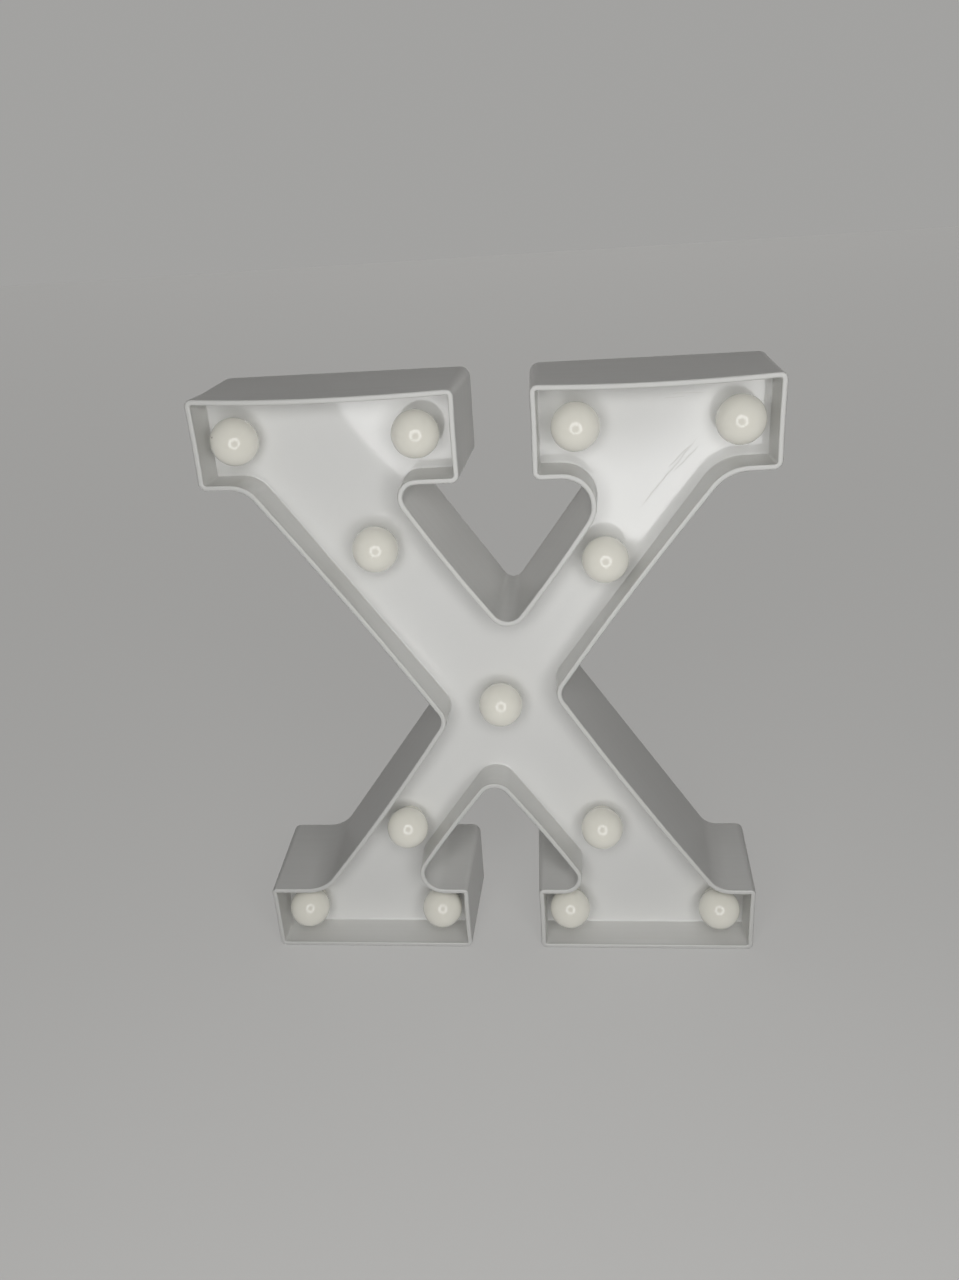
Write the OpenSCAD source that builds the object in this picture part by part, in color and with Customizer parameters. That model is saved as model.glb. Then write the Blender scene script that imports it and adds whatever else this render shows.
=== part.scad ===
// Light-up letter: a slab-serif X with a sunk face, thirteen opal globes and a battery back.
// Front faces -Y, +Z is up, and the origin lies under the middle of the feet.

/* [Letter outline] */
// Overall height
letter_h = 220; // [205:1:245]
// Overall width
letter_w = 190; // [182:1:210]
// Height of each slab serif
serif_h = 29.4; // [28:0.2:33]
// Inner end of the upper left serif, from the middle
top_left_end = 6.8; // [5:0.2:9]
// Inner end of the upper right serif, from the middle
top_right_end = 15.4; // [13:0.2:18]
// Inner end of the lower left serif, from the middle
foot_left_end = 14.9; // [13:0.2:17]
// Inner end of the lower right serif, from the middle
foot_right_end = 11.4; // [9:0.2:13]
// Level width of the heavy bar
heavy_w = 50.1; // [47:0.1:53]
// Level width of the thin bar
thin_w = 35.6; // [33:0.1:38]
// How far the serifs reach past the outer edges of the heavy bar
heavy_overhang = 14.7; // [13:0.1:17]
// How far the upper serif reaches past the outer edge of the thin bar
thin_top_overhang = 16.3; // [14:0.1:19]
// How far the lower serif reaches past the outer edge of the thin bar
thin_foot_overhang = 22.3; // [20:0.1:25]

/* [Outline rounding] */
// Serif corners
corner_r = 2.8; // [2.4:0.1:4]
// The four notches between the bars
notch_r = 4.7; // [3:0.1:6]
// Outer brackets of the heavy bar
heavy_outer_r = 9; // [6:0.2:12]
// Outer brackets of the thin bar
thin_outer_r = 13; // [9:0.2:16]
// Inner brackets of the heavy bar
heavy_inner_r = 4.5; // [3:0.1:6]
// Inner bracket of the thin bar under the upper serif
thin_top_inner_r = 9.3; // [6:0.1:10]
// Inner bracket of the thin bar over the lower serif
thin_foot_inner_r = 6.2; // [4:0.1:7]

/* [Shell] */
// Side wall
wall = 1.8; // [1.4:0.1:2.2]
// Face plate
face_t = 2; // [1.6:0.1:2.4]
// Depth of the tray in front of the face
tray_depth = 14; // [12:0.1:14]
// Screw post radius
post_r = 3.2; // [2.8:0.1:3.6]
// Screw post centre from the outer edge of a serif
post_edge = 7.5; // [7:0.1:8.2]
// Upper left post from the middle
post_top_left = 42; // [38:0.5:46]
// Upper right post from the middle
post_top_right = 46; // [43:0.5:52]
// Lower posts from the middle
post_foot = 55; // [50:0.5:58]
// Middle posts, level distance from the middle line of the heavy bar
post_mid_out = 15; // [13:0.5:16]
// Middle posts, up and down from the middle
post_mid_z = 30; // [28:0.5:32]

/* [Globes] */
// Globe radius
globe_r = 7.9; // [7:0.1:8.5]
// Globe wall
globe_wall = 0.9; // [0.7:0.1:1.2]
// How far the ball is cut by the face
globe_seat = 0.3; // [0.1:0.1:0.5]
// Collar radius at the face
collar_r = 5; // [4.8:0.1:5.4]
// Neck radius
neck_r = 4.2; // [4:0.05:4.4]
// Neck clearance in the face
neck_gap = 0.1; // [0.05:0.05:0.2]
// Snap lip behind the face, beyond the neck
lip_out = 0.4; // [0.3:0.1:0.6]
// Snap lip height
lip_h = 1.4; // [1.2:0.1:1.5]
// Outer globes from the ends of the letter
globe_end = 13.2; // [12:0.1:15]
// Inner globes from the inner ends of the upper serifs
globe_top_in = 14.7; // [13:0.1:16]
// Inner globes from the inner ends of the lower serifs
globe_foot_in = 12.4; // [12:0.1:14]
// Upper globe on the heavy bar, above the middle
heavy_globe_up = 56.5; // [52:0.5:60]
// Middle globe, below the middle
middle_globe_down = 4; // [0:0.5:6]
// Middle globe, right of the middle
middle_globe_right = 1; // [0:0.1:3]
// Lower globe on the heavy bar, below the middle
heavy_globe_down = 57.5; // [54:0.5:60]
// Sideways shift of the lower globe on the heavy bar, to the left
heavy_globe_shift = 2.6; // [0:0.1:4]
// Upper globe on the thin bar, above the middle
thin_globe_up = 50.3; // [47:0.1:54]
// Lower globe on the thin bar, below the middle
thin_globe_down = 57; // [54:0.5:60]

/* [LEDs and wires] */
// LED body radius
led_r = 2.5; // [2.3:0.05:2.6]
// LED clearance in the neck
led_gap = 0.1; // [0.05:0.05:0.2]
// LED flange radius beyond its body
led_flange_out = 0.5; // [0.4:0.1:0.7]
// LED flange thickness
led_flange_t = 1; // [0.8:0.1:1]
// Straight part of the LED in front of its flange
led_body_l = 5; // [4:0.1:6]
// Spacing of the legs
leg_pitch = 2.54; // [2.5:0.01:2.6]
// Leg radius
leg_r = 0.25; // [0.2:0.05:0.3]
// Length of the shorter leg
leg_l = 0.2; // [0.2:0.05:0.3]
// Half the thickness of a wire
wire_r = 0.5; // [0.4:0.05:0.5]
// Solder joint radius beyond the wire
joint_out = 0.2; // [0.1:0.05:0.3]
// Radius of the loose leads
lead_r = 0.4; // [0.3:0.05:0.45]
// Gap between the two wire layers
wire_gap = 0.2; // [0.2:0.05:0.3]
// Gap left at a solder joint
solder_gap = 0.1; // [0.05:0.05:0.15]
// Room between the wires and the battery well
well_space = 4.8; // [1:0.1:18]

/* [Back cover] */
// Cover plate
cover_t = 2; // [1.8:0.1:2.2]
// How far the cover lies inside the back edge
cover_recess = 2; // [2:0.1:2.6]
// Gap between cover and side wall
cover_gap = 0.4; // [0.3:0.1:0.6]
// Screw shank radius
screw_r = 1.3; // [1.2:0.05:1.4]
// Screw shank length
screw_l = 8; // [7:0.5:10]
// Screw head radius
screw_head_r = 2.5; // [2.3:0.1:2.8]
// Screw head height
screw_head_h = 1.5; // [1.2:0.1:1.6]
// Screw clearance in the cover
screw_gap = 0.2; // [0.1:0.05:0.3]
// Screw clearance in the post
pilot_gap = 0.05; // [0.02:0.01:0.1]
// Room left past the end of a screw
screw_end_gap = 0.5; // [0.3:0.1:1]
// Keyholes from the middle, sideways
keyhole_x = 60; // [56:0.5:64]
// Keyhole centre below the top edge
keyhole_drop = 18; // [17:0.5:19]
// Keyhole radius
keyhole_r = 4.2; // [3.8:0.1:4.5]
// Keyhole slot radius
keyhole_slot_r = 2; // [1.8:0.1:2.2]
// Keyhole slot length
keyhole_slot_l = 7; // [6:0.5:8]

/* [Battery well] */
// Cell diameter
cell_d = 10.4; // [10.1:0.1:10.5]
// Cell length with its nub
cell_l = 44.5; // [43.5:0.1:44.5]
// Nub radius
nub_r = 1.9; // [1.7:0.05:2.2]
// Nub height
nub_h = 0.8; // [0.7:0.1:1.2]
// Clearance round the cells
cell_gap = 0.2; // [0.1:0.05:0.25]
// Gap between the two cells
cell_space = 0.4; // [0.3:0.1:0.8]
// Well wall
well_wall = 1.5; // [1.3:0.1:1.7]
// Well floor
well_floor = 1.6; // [1.4:0.1:1.7]
// Contact sheet
contact_t = 0.4; // [0.3:0.05:0.5]
// Contact width and height
contact_w = 8; // [7:0.5:9]
// Reach of a contact leaf
leaf_l = 4; // [3.5:0.1:5]
// Leaf width
leaf_w = 4; // [3:0.5:6]
// Gap between a cell and its contacts
contact_gap = 0.1; // [0.05:0.05:0.2]
// Solder tab width
tab_w = 2.5; // [2:0.1:3]
// Solder tab length outside the well
tab_l = 3; // [2.5:0.1:4]
// Clearance round a solder tab
tab_gap = 0.2; // [0.1:0.05:0.3]

/* [Battery door] */
// Door plate
door_t = 1.8; // [1.6:0.1:1.8]
// Gap round the door
door_gap = 0.3; // [0.2:0.05:0.4]
// Ledge that carries the door
door_ledge = 1; // [0.8:0.05:1.1]
// Hinge barrel radius
barrel_r = 1.1; // [1:0.05:1.15]
// Hinge pin radius
pin_r = 0.7; // [0.6:0.05:0.8]
// Hinge pin length
pin_l = 1.8; // [1.6:0.1:2]
// Hinge pin clearance
pin_gap = 0.1; // [0.05:0.05:0.15]
// Wall round the hinge pin
cheek_wall = 1.2; // [1:0.1:1.4]
// Grip rib width
grip_w = 12; // [8:0.5:16]
// Grip rib radius
grip_r = 0.5; // [0.4:0.05:0.6]
// Grip rib spacing
grip_pitch = 2.4; // [2:0.1:3]
// Finger notch radius
notch_finger_r = 4.5; // [4:0.1:5]
// Finger notch depth
notch_finger_t = 1.3; // [1:0.1:1.4]

/* [Switch] */
// Switch travel
switch_travel = 4; // [3:0.5:4]
// Knob width
knob_w = 3.6; // [3:0.1:4]
// Knob length along its travel
knob_l = 4; // [3.5:0.1:5]
// How far the knob stands out of the cover
knob_out = 1.5; // [1:0.1:1.6]
// Clearance round the knob
knob_gap = 0.3; // [0.2:0.05:0.4]
// Clearance round the slider plate
slider_gap = 0.15; // [0.1:0.05:0.2]
// How far the slider plate reaches past the knob
slider_out = 0.3; // [0.1:0.1:0.6]
// Room between the well and the switch below it
switch_space = 3; // [0.5:0.5:6]
// Switch frame length
frame_l = 22; // [21:0.5:23]
// Switch frame width
frame_w = 6; // [6:0.1:7]
// Switch frame sheet
frame_t = 0.8; // [0.6:0.05:1]
// Switch housing length
housing_l = 13; // [13:0.1:14]
// Switch housing depth
housing_h = 5; // [4.5:0.1:5.5]
// Housing wall
housing_wall = 0.7; // [0.5:0.05:0.8]
// Slider plate thickness
slider_t = 1.4; // [1.2:0.1:1.6]
// Height of the switch posts
switch_post_h = 2; // [1.6:0.1:2.4]
// Switch post radius
switch_post_r = 1.9; // [1.8:0.1:2.1]
// Switch screw radius
switch_screw_r = 0.9; // [0.8:0.05:1]
// Switch screw shank length
switch_screw_l = 2.6; // [2.2:0.1:3]
// Switch screw head radius
switch_head_r = 1.6; // [1.5:0.1:1.8]
// Switch screw head height
switch_head_h = 1.1; // [0.9:0.1:1.3]
// Switch pin radius
switch_pin_r = 0.4; // [0.3:0.05:0.5]
// Switch pin length
switch_pin_l = 2.6; // [2:0.1:3]
// Switch pin spacing
switch_pin_pitch = 4; // [3.8:0.1:4.2]

/* [Hidden] */
$fn = 64;
// Overshoot of a cut past the surface it opens
cut = 1;
GLOBE_COUNT = 13;

// Depths behind the face: the neck, the legs to their layers of wire, and the battery well
neck_l = face_t + neck_gap + lip_h;
long_leg_l = leg_l + 2 * wire_r + wire_gap;
wiring_depth = neck_l + led_flange_t + long_leg_l + solder_gap + 2 * wire_r;
well_depth = well_floor + cell_d + 2 * cell_gap + door_t;
depth = tray_depth + wiring_depth + well_space + well_depth + cover_recess;

// Planes from front to back, with the globes standing a little proud of the rim
globe_proud = max(0, 2 * globe_r - globe_seat - tray_depth);
y_front = (globe_proud - depth) / 2;
y_back = (globe_proud + depth) / 2;
y_face = y_front + tray_depth;
y_inside = y_face + face_t;
y_cover = y_back - cover_recess;
y_cover_in = y_cover - cover_t;

// Bars: where their middle lines meet the serifs, how far they lean and where their edges cross
half_w = letter_w / 2;
mid_z = letter_h / 2;
top_z = letter_h - serif_h;
heavy_half = heavy_w / 2;
thin_half = thin_w / 2;
heavy_end = half_w - heavy_overhang - heavy_half;
thin_top_end = half_w - thin_top_overhang - thin_half;
thin_foot_end = half_w - thin_foot_overhang - thin_half;
thin_shift = (thin_top_end - thin_foot_end) / 2;
heavy_lean = heavy_end / (top_z - mid_z);
thin_lean = (thin_top_end + thin_foot_end) / (top_z - serif_h);
lean_sum = heavy_lean + thin_lean;
v_z = mid_z + (heavy_half + thin_half - thin_shift) / lean_sum;
apex_z = mid_z - (heavy_half + thin_half + thin_shift) / lean_sum;
left_z = mid_z + (thin_half - heavy_half - thin_shift) / lean_sum;
right_z = mid_z + (heavy_half - thin_half - thin_shift) / lean_sum;
function heavy_x(z) = -heavy_lean * (z - mid_z);
function thin_x(z) = thin_shift + thin_lean * (z - mid_z);

// Corners of the outline, anticlockwise from the lower left, each with its rounding
OUTLINE = [
    [-half_w, 0, corner_r],
    [-foot_left_end, 0, corner_r],
    [-foot_left_end, serif_h, corner_r],
    [thin_x(serif_h) + thin_half, serif_h, thin_foot_inner_r],
    [heavy_x(apex_z) - heavy_half, apex_z, notch_r],
    [heavy_x(serif_h) - heavy_half, serif_h, heavy_inner_r],
    [foot_right_end, serif_h, corner_r],
    [foot_right_end, 0, corner_r],
    [half_w, 0, corner_r],
    [half_w, serif_h, corner_r],
    [heavy_x(serif_h) + heavy_half, serif_h, heavy_outer_r],
    [heavy_x(right_z) + heavy_half, right_z, notch_r],
    [thin_x(top_z) + thin_half, top_z, thin_outer_r],
    [half_w, top_z, corner_r],
    [half_w, letter_h, corner_r],
    [top_right_end, letter_h, corner_r],
    [top_right_end, top_z, corner_r],
    [thin_x(top_z) - thin_half, top_z, thin_top_inner_r],
    [heavy_x(v_z) + heavy_half, v_z, notch_r],
    [heavy_x(top_z) + heavy_half, top_z, heavy_inner_r],
    [-top_left_end, top_z, corner_r],
    [-top_left_end, letter_h, corner_r],
    [-half_w, letter_h, corner_r],
    [-half_w, top_z, corner_r],
    [heavy_x(top_z) - heavy_half, top_z, heavy_outer_r],
    [heavy_x(left_z) - heavy_half, left_z, notch_r],
    [thin_x(serif_h) - thin_half, serif_h, thin_outer_r],
    [-half_w, serif_h, corner_r],
];
corners = len(OUTLINE);
least_r = 0.3;
// How far a corner's circle is set towards the corner
arc_bite = 0.01;

function unit(v) = v / norm(v);
function point(i) = let (q = OUTLINE[(i + corners) % corners]) [q[0], q[1]];
function inward(i) = let (d = unit(point(i + 1) - point(i))) [-d[1], d[0]];
function convex(i) = cross(point(i) - point(i - 1), point(i + 1) - point(i)) > 0;
// A corner moved in by the inset, and its rounding, which grows in a hollow corner
function inset_point(i, inset) =
    let (a = inward(i - 1), b = inward(i)) point(i) + inset * (a + b) / (1 + a * b);
function inset_r(i, inset) = max(least_r, OUTLINE[i][2] + (convex(i) ? -inset : inset));
function to_last(i) = unit(point(i - 1) - point(i));
function to_next(i) = unit(point(i + 1) - point(i));
function half_angle(i) = acos(to_last(i) * to_next(i)) / 2;
function tangent_l(i, inset) = inset_r(i, inset) / tan(half_angle(i));
function arc_start(i, inset) = inset_point(i, inset) + to_last(i) * tangent_l(i, inset);
function arc_end(i, inset) = inset_point(i, inset) + to_next(i) * tangent_l(i, inset);
function arc_centre(i, inset) =
    inset_point(i, inset) + unit(to_last(i) + to_next(i)) * inset_r(i, inset) / sin(half_angle(i));

// A corner's circle, set a little towards the corner so that it crosses both edges
module corner_circle(i, inset) {
    centre = arc_centre(i, inset);
    bite = unit(inset_point(i, inset) - centre) * arc_bite;
    translate(centre + bite) circle(inset_r(i, inset));
}

// What rounding takes off an outer corner: a kite over the corner, less the circle
module corner_waste(i, inset) {
    centre = arc_centre(i, inset);
    difference() {
        polygon([
            centre,
            2 * arc_start(i, inset) - centre,
            2 * inset_point(i, inset) - centre,
            2 * arc_end(i, inset) - centre,
        ]);
        corner_circle(i, inset);
    }
}

// An outer corner stays sharp and an inner one is bridged by its chord, until both are rounded
function rough_points(i, inset) =
    convex(i) ? [inset_point(i, inset)] : [arc_start(i, inset), arc_end(i, inset)];

// The letter's outline, moved in by the inset, with every corner rounded
module outline(inset) {
    difference() {
        polygon([for (i = [0:corners - 1]) each rough_points(i, inset)]);
        for (i = [0:corners - 1]) {
            if (convex(i)) corner_waste(i, inset);
            else corner_circle(i, inset);
        }
    }
}

// A flat shape drawn in X and Z, thickened from y0 to y1
module slab(y0, y1) {
    translate([0, y1, 0]) rotate([90, 0, 0]) linear_extrude(height = y1 - y0) children();
}

// A round bar along Y, from y0 to y1
module rod(x, z, r, y0, y1) {
    translate([x, y1, z]) rotate([90, 0, 0]) cylinder(h = y1 - y0, r = r);
}

// A block between two opposite corners
module block(low, high) {
    translate(low) cube(high - low);
}

// A round bar between two points
module link(a, b, r) {
    d = b - a;
    translate(a) rotate([0, acos(d[2] / norm(d)), atan2(d[1], d[0])]) cylinder(h = norm(d), r = r);
}

// Globe centres, numbered along the upper row, down the bars and along the lower row
upper_row_z = letter_h - serif_h / 2;
lower_row_z = serif_h / 2;
GLOBES = [
    [globe_end - half_w, upper_row_z],
    [-top_left_end - globe_top_in, upper_row_z],
    [top_right_end + globe_top_in, upper_row_z],
    [half_w - globe_end, upper_row_z],
    [heavy_x(mid_z + heavy_globe_up), mid_z + heavy_globe_up],
    [thin_x(mid_z + thin_globe_up), mid_z + thin_globe_up],
    [middle_globe_right, mid_z - middle_globe_down],
    [thin_x(mid_z - thin_globe_down), mid_z - thin_globe_down],
    [heavy_x(mid_z - heavy_globe_down) - heavy_globe_shift, mid_z - heavy_globe_down],
    [globe_end - half_w, lower_row_z],
    [-foot_left_end - globe_foot_in, lower_row_z],
    [foot_right_end + globe_foot_in, lower_row_z],
    [half_w - globe_end, lower_row_z],
];
globe_h = globe_r - globe_seat;
neck_bore_r = led_r + led_gap;

// Screw posts behind the face
POSTS = [
    [-post_top_left, letter_h - post_edge],
    [post_top_right, letter_h - post_edge],
    [heavy_x(mid_z + post_mid_z) - post_mid_out, mid_z + post_mid_z],
    [heavy_x(mid_z - post_mid_z) + post_mid_out, mid_z - post_mid_z],
    [-post_foot, post_edge],
    [post_foot, post_edge],
];

module letter_shell() {
    color("white") difference() {
        union() {
            difference() {
                slab(y_front, y_back) outline(0);
                slab(y_front - cut, y_face) outline(wall);
                slab(y_inside, y_back + cut) outline(wall);
            }
            for (p = POSTS) rod(p[0], p[1], post_r, y_face + face_t / 2, y_cover_in);
        }
        for (g = GLOBES) rod(g[0], g[1], neck_r + neck_gap, y_face - cut, y_inside + cut);
        for (p = POSTS)
            rod(p[0], p[1], screw_r + pilot_gap, y_cover - screw_l - screw_end_gap, y_cover_in + cut);
    }
}

// Places a piece on the face at globe i, its own +Z pointing out of the front
module at_globe(i) {
    g = GLOBES[i - 1];
    translate([g[0], y_face, g[1]]) rotate([90, 0, 0]) children();
}

// Hollow ball, a collar that seats on the face and a neck with a snap lip
module globe(i) {
    hollow_r = globe_r - globe_wall;
    collar_h = globe_h - sqrt(hollow_r * hollow_r - collar_r * collar_r) + globe_wall / 3;
    color("ivory") at_globe(i) difference() {
        union() {
            translate([0, 0, globe_h]) sphere(globe_r);
            cylinder(h = collar_h, r = collar_r);
            translate([0, 0, -neck_l]) cylinder(h = neck_l + collar_h / 2, r = neck_r);
            translate([0, 0, -neck_l]) cylinder(h = lip_h, r = neck_r + lip_out);
        }
        translate([0, 0, globe_h]) sphere(hollow_r);
        translate([0, 0, -neck_l - cut]) cylinder(h = neck_l + globe_h, r = neck_bore_r);
    }
}

// Legs reach back to their own layer of wires
y_legs = y_face + neck_l + led_flange_t;
y_wire_neg = y_legs + leg_l + solder_gap + wire_r;
y_wire_pos = y_legs + long_leg_l + solder_gap + wire_r;

module led_profile() {
    square([led_r + led_flange_out, led_flange_t]);
    square([led_r, led_flange_t + led_body_l]);
    translate([0, led_flange_t + led_body_l]) intersection() {
        circle(led_r);
        square(led_r);
    }
}

module led_leg(side, length) {
    translate([0, side * leg_pitch / 2, -length]) cylinder(h = length + led_flange_t / 2, r = leg_r);
}

module led(i) {
    color("lightyellow") at_globe(i) translate([0, 0, -neck_l - led_flange_t]) {
        rotate_extrude() led_profile();
        led_leg(1, long_leg_l);
        led_leg(-1, leg_l);
    }
}

// Flat wire joins the LEDs of each run, and runs share their end joints
joint_r = wire_r + joint_out;
function wire_runs() = [[2, 1], [1, 5, 7, 9, 13], [13, 12], [3, 4], [4, 6, 7, 8, 10], [10, 11]];
function leg_at(i, side) = GLOBES[i - 1] + [0, side * leg_pitch / 2];
function leg_end(i, side, y) = let (p = leg_at(i, side)) [p[0], y, p[1]];
// Square to the piece of a run that starts at its place k
function run_normal(run, k) = let (d = unit(leg_at(run[k + 1], 0) - leg_at(run[k], 0))) [-d[1], d[0]];
// One edge of a run at its place k, mitred where the run bends
function run_edge(run, k, side, out) =
    let (
        a = run_normal(run, max(k - 1, 0)),
        b = run_normal(run, min(k, len(run) - 2))
    )
    leg_at(run[k], side) + out * (a + b) / (1 + a * b);

module wire_net(side, y) {
    slab(y - wire_r, y + wire_r) {
        for (run = wire_runs())
            polygon(concat(
                [for (k = [0:len(run) - 1]) run_edge(run, k, side, -wire_r)],
                [for (k = [len(run) - 1:-1:0]) run_edge(run, k, side, wire_r)]
            ));
        for (i = [1:GLOBE_COUNT]) translate(leg_at(i, side)) circle(joint_r);
    }
}

// Battery well, centred between the notches
well_x = (heavy_x(left_z) - heavy_half + heavy_x(right_z) + heavy_half) / 2;
well_z = (v_z + apex_z) / 2;
well_w = 2 * cell_d + cell_space + 2 * cell_gap;
well_l = cell_l + leaf_l + 2 * contact_t + 2 * contact_gap;
y_door_in = y_cover - door_t;
y_cell = y_door_in - cell_gap - cell_d / 2;
y_well_in = y_cell - cell_d / 2 - cell_gap;
y_well_out = y_well_in - well_floor;
well_low = [well_x - well_w / 2, well_z - well_l / 2];
well_high = [well_x + well_w / 2, well_z + well_l / 2];
cell_step = (cell_d + cell_space) / 2;
// Cell 1 stands with its nub up, cell 2 with its nub down
cell_1_z = well_low[1] + contact_t + leaf_l + contact_gap;
cell_2_z = well_high[1] - contact_t - leaf_l - contact_gap;

// Door and hinge
door_low = [well_low[0] - door_ledge + door_gap, well_low[1] - door_ledge + door_gap];
door_high = [well_high[0] + door_ledge - door_gap, well_high[1] + door_ledge - door_gap];
hinge_y = y_cover - barrel_r;
hinge_z = door_low[1] + barrel_r;
cheek_r = pin_r + pin_gap + cheek_wall;

// Solder tabs of the two lower contacts leave through the sides of the well
tab_y = y_cell - cell_d / 4;
function tab_x(side) = well_x + side * (well_w / 2 + well_wall + tab_l);

// Switch on the lower thin bar, below the well
switch_z = well_low[1] - well_wall - switch_space - frame_l / 2;
switch_x = thin_x(switch_z);
y_frame = y_cover_in - switch_post_h;
y_frame_in = y_frame - frame_t;
y_housing = y_frame_in - housing_h;
y_pin_tip = y_housing - switch_pin_l;
knob_low_z = switch_z - (knob_l + switch_travel) / 2;
knob_slot_l = knob_l + switch_travel + 2 * knob_gap;
switch_post_z = (frame_l + housing_l) / 4;
switch_pilot_l = switch_screw_l - frame_t + screw_end_gap;

module keyhole(x) {
    z = letter_h - keyhole_drop;
    rod(x, z, keyhole_r, y_cover_in - cut, y_cover + cut);
    rod(x, z + keyhole_slot_l, keyhole_slot_r, y_cover_in - cut, y_cover + cut);
    block(
        [x - keyhole_slot_r, y_cover_in - cut, z],
        [x + keyhole_slot_r, y_cover + cut, z + keyhole_slot_l]
    );
}

module hinge_cheek(side) {
    x = side > 0 ? well_high[0] + door_ledge : well_low[0] - door_ledge - pin_l - cheek_wall;
    block(
        [x, hinge_y - cheek_r, hinge_z - cheek_r],
        [x + pin_l + cheek_wall, y_cover_in + cover_t / 2, hinge_z + cheek_r]
    );
}

module switch_posts() {
    for (side = [-1, 1])
        rod(switch_x, switch_z + side * switch_post_z, switch_post_r, y_frame, y_cover_in + cover_t / 2);
}

// Slots for both solder tabs, cut right across the well
module tab_slots() {
    block(
        [well_low[0] - well_wall - cut, tab_y - tab_w / 2 - tab_gap, well_low[1] - tab_gap],
        [well_high[0] + well_wall + cut, tab_y + tab_w / 2 + tab_gap, well_low[1] + contact_t + tab_gap]
    );
}

module back_cover() {
    rim = well_wall;
    color("whitesmoke") difference() {
        union() {
            slab(y_cover_in, y_cover) outline(wall + cover_gap);
            block(
                [well_low[0] - rim, y_well_out, well_low[1] - rim],
                [well_high[0] + rim, y_cover_in + cover_t / 2, well_high[1] + rim]
            );
            hinge_cheek(-1);
            hinge_cheek(1);
            switch_posts();
        }
        // The well, the door's seat and the clearance round the hinge barrel
        block(
            [well_low[0], y_well_in, well_low[1]],
            [well_high[0], y_cover + cut, well_high[1]]
        );
        block(
            [well_low[0] - door_ledge, y_door_in, well_low[1] - door_ledge],
            [well_high[0] + door_ledge, y_cover + cut, well_high[1] + door_ledge]
        );
        link(
            [well_low[0] - door_ledge, hinge_y, hinge_z],
            [well_high[0] + door_ledge, hinge_y, hinge_z],
            barrel_r + door_gap
        );
        link(
            [well_low[0] - door_ledge - pin_l, hinge_y, hinge_z],
            [well_high[0] + door_ledge + pin_l, hinge_y, hinge_z],
            pin_r + pin_gap
        );
        rod(well_x, well_high[1] + door_ledge, notch_finger_r, y_cover - notch_finger_t, y_cover + cut);
        tab_slots();
        // Openings in the plate
        for (p = POSTS) rod(p[0], p[1], screw_r + screw_gap, y_cover_in - cut, y_cover + cut);
        for (side = [-1, 1]) keyhole(side * keyhole_x);
        block(
            [switch_x - knob_w / 2 - knob_gap, y_cover_in - cut, switch_z - knob_slot_l / 2],
            [switch_x + knob_w / 2 + knob_gap, y_cover + cut, switch_z + knob_slot_l / 2]
        );
        for (side = [-1, 1])
            rod(
                switch_x, switch_z + side * switch_post_z, switch_screw_r + pilot_gap,
                y_frame - cut, y_frame + switch_pilot_l
            );
    }
}

module battery_door() {
    color("white") {
        block([door_low[0], y_door_in, hinge_z], [door_high[0], y_cover, door_high[1]]);
        link([door_low[0], hinge_y, hinge_z], [door_high[0], hinge_y, hinge_z], barrel_r);
        link(
            [door_low[0] - pin_l, hinge_y, hinge_z],
            [door_high[0] + pin_l, hinge_y, hinge_z],
            pin_r
        );
        for (k = [1:3])
            link(
                [well_x - grip_w / 2, y_cover, door_high[1] - k * grip_pitch - notch_finger_r / 2],
                [well_x + grip_w / 2, y_cover, door_high[1] - k * grip_pitch - notch_finger_r / 2],
                grip_r
            );
    }
}

// A cell standing at its flat end, nub up or down
module cell(x, z, up) {
    color("dimgray") translate([x, y_cell, z]) mirror([0, 0, up ? 0 : 1]) {
        cylinder(h = cell_l - nub_h, d = cell_d);
        cylinder(h = cell_l, r = nub_r);
    }
}

module battery_1() {
    cell(well_x - cell_step, cell_1_z, true);
}

module battery_2() {
    cell(well_x + cell_step, cell_2_z, false);
}

// A contact sheet against an end wall of the well, from x0 to x1
module contact_sheet(x0, x1, z) {
    block([x0, y_cell - contact_w / 2, z], [x1, y_cell + contact_w / 2, z + contact_t]);
}

// A bent leaf that leans out from the sheet at z to the flat end of a cell, up or down
module contact_leaf(x, z, up) {
    foot_y = y_cell - contact_w / 2;
    tip_y = y_cell + contact_w / 3;
    tip_z = leaf_l / 3;
    translate([x - leaf_w / 2, 0, z]) mirror([0, 0, up ? 0 : 1]) rotate([90, 0, 90])
        linear_extrude(height = leaf_w) polygon([
            [foot_y, 0], [y_cell, leaf_l - contact_t], [tip_y, tip_z - contact_t],
            [tip_y, tip_z], [y_cell, leaf_l], [foot_y, contact_t],
        ]);
}

// A solder tab that runs from the middle of its sheet out of the well
module contact_tab(side) {
    inner = well_x + side * cell_step;
    outer = tab_x(side);
    block(
        [min(inner, outer), tab_y - tab_w / 2, well_low[1]],
        [max(inner, outer), tab_y + tab_w / 2, well_low[1] + contact_t]
    );
}

module contact_neg() {
    x = well_x - cell_step;
    color("silver") {
        contact_sheet(x - contact_w / 2, x + contact_w / 2, well_low[1]);
        contact_leaf(x, well_low[1] + contact_t / 2, true);
        contact_tab(-1);
    }
}

module contact_pos() {
    x = well_x + cell_step;
    color("silver") {
        contact_sheet(x - contact_w / 2, x + contact_w / 2, well_low[1]);
        contact_tab(1);
    }
}

module contact_bridge() {
    x0 = well_x - cell_step - contact_w / 2;
    x1 = well_x + cell_step + contact_w / 2;
    color("silver") {
        contact_sheet(x0, x1, well_high[1] - contact_t);
        contact_leaf(well_x + cell_step, well_high[1] - contact_t / 2, false);
    }
}

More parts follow.
